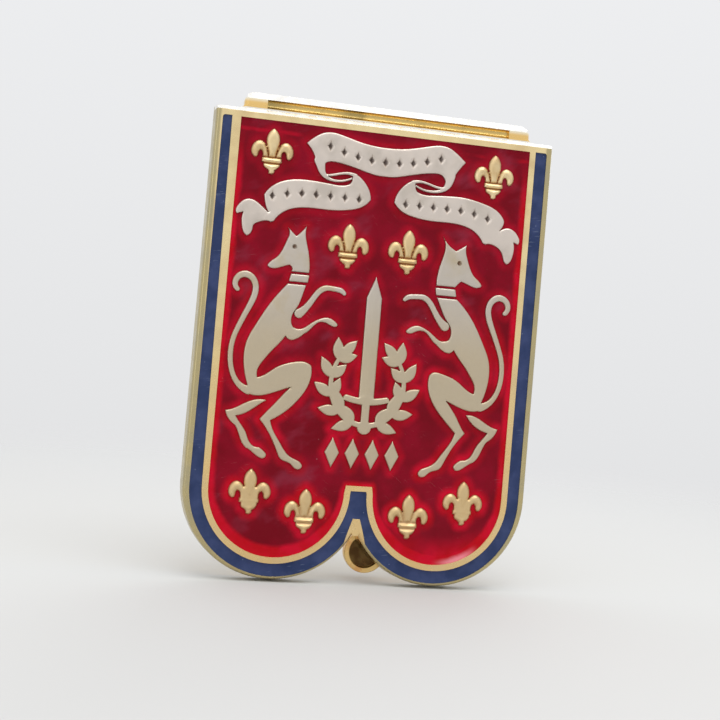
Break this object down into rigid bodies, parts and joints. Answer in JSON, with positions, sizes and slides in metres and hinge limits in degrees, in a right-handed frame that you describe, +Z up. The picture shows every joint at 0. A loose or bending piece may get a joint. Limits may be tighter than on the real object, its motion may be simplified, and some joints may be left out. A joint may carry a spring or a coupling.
{
  "type": "enamelled cap badge",
  "caption": "Enamelled metal cap badge shaped as a two-lobed banner with silver hounds and ribbon, gilt fleurs-de-lis, and a brooch pin with a turning safety catch behind it.",
  "frame": {"origin": "on the plate's flat back, on the centre line, 20.1 mm below the plate's top edge", "axes": "+Z up the badge as worn, +X to the right seen from the front, -Y out of the enamelled front, +Y out of the back towards the cap"},
  "size_m": [0.0302, 0.0054, 0.0411],
  "materials": {
    "gilt_plate": "gilt, polished edges, worn",
    "red_enamel": "translucent glossy enamel over struck metal",
    "blue_enamel": "glossy opaque enamel",
    "silver_matte": "matte silver plate, toned",
    "gilt_charges": "gilt, polished relief",
    "gilt_fittings": "gilt, toned",
    "pin_wire": "drawn nickel silver wire"
  },
  "bodies": {
    "badge": {"base_plate": "gilt_plate", "red_enamel": "red_enamel", "blue_enamel": "blue_enamel", "hound_left": "silver_matte", "hound_right": "silver_matte", "ribbon": "silver_matte", "centre_ornament": "silver_matte", "lozenge_1": "silver_matte", "lozenge_2": "silver_matte", "lozenge_3": "silver_matte", "lozenge_4": "silver_matte", "fleur_top_left": "gilt_charges", "fleur_top_right": "gilt_charges", "fleur_middle_left": "gilt_charges", "fleur_middle_right": "gilt_charges", "fleur_outer_left": "gilt_charges", "fleur_outer_right": "gilt_charges", "fleur_inner_left": "gilt_charges", "fleur_inner_right": "gilt_charges", "hinge_base": "gilt_fittings", "catch_base": "gilt_fittings", "hinge_rivet": "pin_wire"},
    "pin": {"brooch_pin": "pin_wire"},
    "sleeve": {"catch_sleeve": "gilt_fittings"}
  },
  "joints": [
    {"name": "pin_hinge", "type": "hinge", "parent": "badge", "child": "pin", "pos_m": [0.0014, 0.0024, 0.0105], "axis": [1, 0, 0], "range_deg": [0, 90]},
    {"name": "catch_turn", "type": "hinge", "parent": "badge", "child": "sleeve", "pos_m": [0.0014, 0.0024, -0.0167], "axis": [0, 0, 1], "range_deg": [0, 150]}
  ]
}
